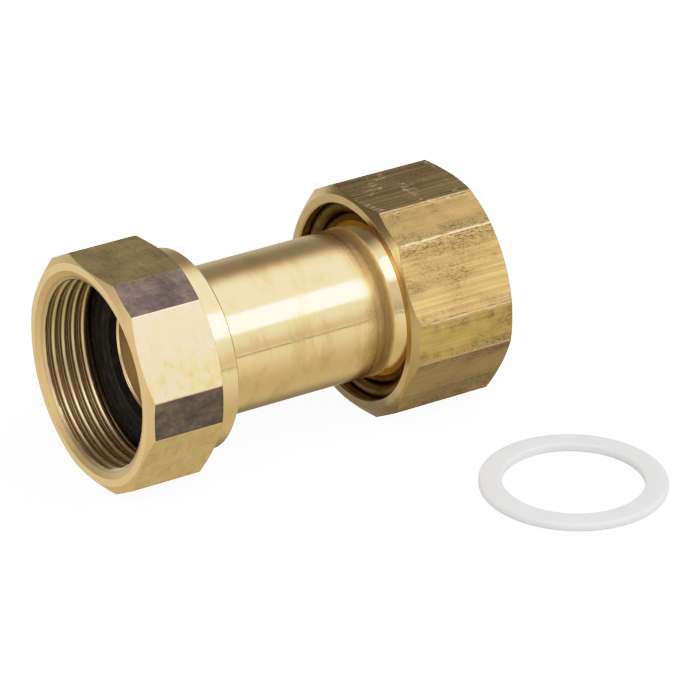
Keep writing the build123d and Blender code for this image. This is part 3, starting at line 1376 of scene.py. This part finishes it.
@dataclass(frozen=True)
class Studio:
    """Camera, world, soft lights, pale floor and tone curve."""

    camera_place: Place = (-441.4, -776.4, 463.1)
    camera_direction: Place = (0.4844, 0.7466, -0.456)
    camera_up: Place = (0.2393, 0.3883, 0.89)
    sensor_width: float = 36.0
    lens: float = 257.14
    clip: Span = (0.05, 50.0)
    overhead: float = 1.78
    back: Span = (0.22, 0.36)
    front_left: Span = (0.67, 1.05)
    front_right: Span = (0.91, 1.5)
    front_tint: Colour = (1.0, 0.96, 1.06)
    back_tint: Colour = (0.96, 0.93, 0.82)
    ground_far: Colour = (1.2, 1.23, 1.21)
    ground_near: Colour = (0.78, 0.725, 0.55)
    ground_back: Colour = (0.6, 0.56, 0.44)
    ground_under: Colour = (0.3, 0.27, 0.18)
    back_glow: float = 0.62
    backdrop: float = 3.0
    softboxes: Tuple[Softbox, ...] = (
        Softbox("key_softbox", 40.0, 39.0, 19.5, 10.8, 2.9),
        Softbox("left_softbox", -62.0, 45.0, 10.6, 12.0, 2.9),
        Softbox("side_panel", -98.0, 9.0, 7.0, 7.0, 3.1),
    )
    floor_half_width: float = 4.0
    floor_gap: float = 0.00002
    floor_tone: float = 0.64
    floor_lift: float = 1.9
    board_x: Span = (-0.3, 0.9)
    board_y: float = -0.36
    board_height: float = 0.009
    board_tone: float = 0.03
    tone_points: Tuple[Tuple[float, float], ...] = (
        (0.0, 0.0),
        (0.55, 0.53),
        (0.75, 0.7),
        (1.1, 0.82),
        (1.5, 0.9),
        (2.25, 0.97),
        (3.0, 1.0),
    )

    def add_camera(self) -> None:
        """Puts the camera at the photograph's place, with its slight roll."""
        data = bpy.data.cameras.new("camera")
        data.sensor_width = self.sensor_width
        data.lens = self.lens
        data.clip_start, data.clip_end = self.clip
        camera = linked("camera", data)
        forward = Vector(self.camera_direction).normalized()
        right = forward.cross(Vector(self.camera_up)).normalized()
        turn = Matrix((right, right.cross(forward), -forward)).transposed()
        camera.location = Vector(self.camera_place) * MM
        camera.rotation_mode = "QUATERNION"
        camera.rotation_quaternion = turn.to_quaternion()
        bpy.context.scene.camera = camera

    def add_world(self) -> None:
        """Fills the world with a dim back, a brighter front, a bright ceiling and the ground."""
        world = bpy.data.worlds.new("studio")
        world.use_nodes = True
        bpy.context.scene.world = world
        graph = Graph(world.node_tree)
        x, y, up = graph.parts(graph.node("ShaderNodeTexCoord", None, None, "Generated"))
        rightward = x.smooth(-0.4, 0.4)
        raised = up.smooth(0.0, 0.38)
        front = blend(rightward, blend(raised, *self.front_left), blend(raised, *self.front_right))
        back = blend(rightward, *self.back) * (1.0 + up.smooth(0.4, 0.0) * self.back_glow)
        walls = blend(y.smooth(0.5, -0.5), back, front)
        ceiling = up.smooth(0.5, 0.8) * (y - x * 0.35).smooth(0.57, 0.0)
        above = blend(ceiling, walls, self.overhead)
        seen = graph.node("ShaderNodeLightPath", None, None, "Is Camera Ray")
        white = (1.0, 1.0, 1.0)
        tint = graph.mix(y.smooth(0.3, 0.7), graph.mix(raised, white, self.front_tint), self.back_tint)
        mirrored = graph.mix(seen.sibling("Is Glossy Ray"), white, tint)
        below = self.ground(graph, x, y, up)
        around = graph.mix(up.smooth(0.0, -0.01), graph.scaled(mirrored, above), below)
        colour = graph.mix(seen, around, (self.backdrop,) * 3)
        background = graph.node("ShaderNodeBackground", None, {"Color": colour, "Strength": 1.0})
        graph.node("ShaderNodeOutputWorld", None, {"Surface": background})

    def ground(self, graph: Graph, x: Socket, y: Socket, up: Socket) -> Socket:
        """Colour of the world below the horizon: warm near the object, and darker behind and under it.

        Args:
            graph: The world's graph.
            x: First component of the direction.
            y: Second component of the direction.
            up: Third component of the direction.

        Returns:
            The colour in that direction.
        """
        rightward = x.smooth(0.0, 0.4)
        behind = rightward * y.smooth(0.35, 0.6)
        under = rightward * y.smooth(-0.1, 0.5) * up.smooth(-0.45, -0.7)
        lit = graph.mix(up.smooth(-0.1, -0.8), self.ground_far, self.ground_near)
        return graph.mix(under, graph.mix(behind, lit, self.ground_back), self.ground_under)

    def add_floor(self) -> None:
        """Lays the pale floor, which isn't mirrored, and a low dark board for the tube to mirror."""
        ground = FLOOR_Z * MM
        level = ground - self.floor_gap
        reach = self.floor_half_width
        floor_corners = [(x, y, level) for x, y in self._rectangle(-reach, reach, -reach, reach)]
        floor = self._sheet("floor", floor_corners, self.floor_tone, self.floor_lift)
        floor.visible_glossy = False
        edge = self._rectangle(*self.board_x, ground, ground + self.board_height)
        board_corners = [(x, self.board_y, z) for x, z in edge]
        board = self._sheet("dark_board", board_corners, self.board_tone, 0.0)
        board.visible_camera = False
        board.visible_shadow = False
        board.visible_diffuse = False

    @staticmethod
    def _rectangle(left: float, right: float, low: float, high: float) -> List[Tuple[float, float]]:
        """Corners of a rectangle, in order round it."""
        return [(left, low), (right, low), (right, high), (left, high)]

    @staticmethod
    def _sheet(name: str, corners: Sequence[Place], tone: float, lift: float) -> bpy.types.Object:
        """Flat stage sheet.

        Args:
            name: Name of the object and of its material.
            corners: Its four corners, in metres.
            tone: Grey of its surface.
            lift: Light that it adds where the camera sees it.

        Returns:
            The linked object.
        """
        mesh = bpy.data.meshes.new(name)
        mesh.from_pydata(corners, [], [(0, 1, 2, 3)])
        material = bpy.data.materials.new(name)
        material.use_nodes = True
        graph = Graph(material.node_tree)
        seen = graph.node("ShaderNodeLightPath", None, None, "Is Camera Ray")
        matte = graph.node("ShaderNodeBsdfDiffuse", None, {"Color": (tone, tone, tone, 1.0)})
        light = {"Color": (1.0, 1.0, 1.0, 1.0), "Strength": seen * lift}
        glow = graph.node("ShaderNodeEmission", None, light)
        both = graph.node("ShaderNodeAddShader", None, {0: matte, 1: glow})
        graph.node("ShaderNodeOutputMaterial", None, {"Surface": both})
        mesh.materials.append(material)
        return linked(name, mesh)

    def set_tone(self) -> None:
        """Gives the picture a soft shoulder in its bright parts."""
        settings = bpy.context.scene.view_settings
        settings.view_transform = "Standard"
        settings.use_curve_mapping = True
        mapping = settings.curve_mapping
        top = self.tone_points[-1][0]
        mapping.white_level = (top, top, top)
        curve = mapping.curves[3]
        while len(curve.points) < len(self.tone_points):
            curve.points.new(1.0, 1.0)
        for point, (light, shown) in zip(curve.points, self.tone_points):
            point.location = (light / top, shown)
        mapping.update()

    def build(self) -> None:
        """Sets up everything that isn't part of the object."""
        self.add_camera()
        self.add_world()
        for softbox in self.softboxes:
            softbox.build()
        self.add_floor()
        self.set_tone()


def main() -> None:
    """Builds every piece in order, then the studio."""
    logging.basicConfig(level=logging.INFO, format="%(message)s")
    for maker in (Sleeve(), LeftUnionNut(), RubberGasket(), RightUnionNut(), SnapRing(), FlatGasket()):
        piece = maker.build()
        log.info("%s: %d faces", piece.name, len(piece.data.polygons))
    Studio().build()


if __name__ == "__main__":
    main()
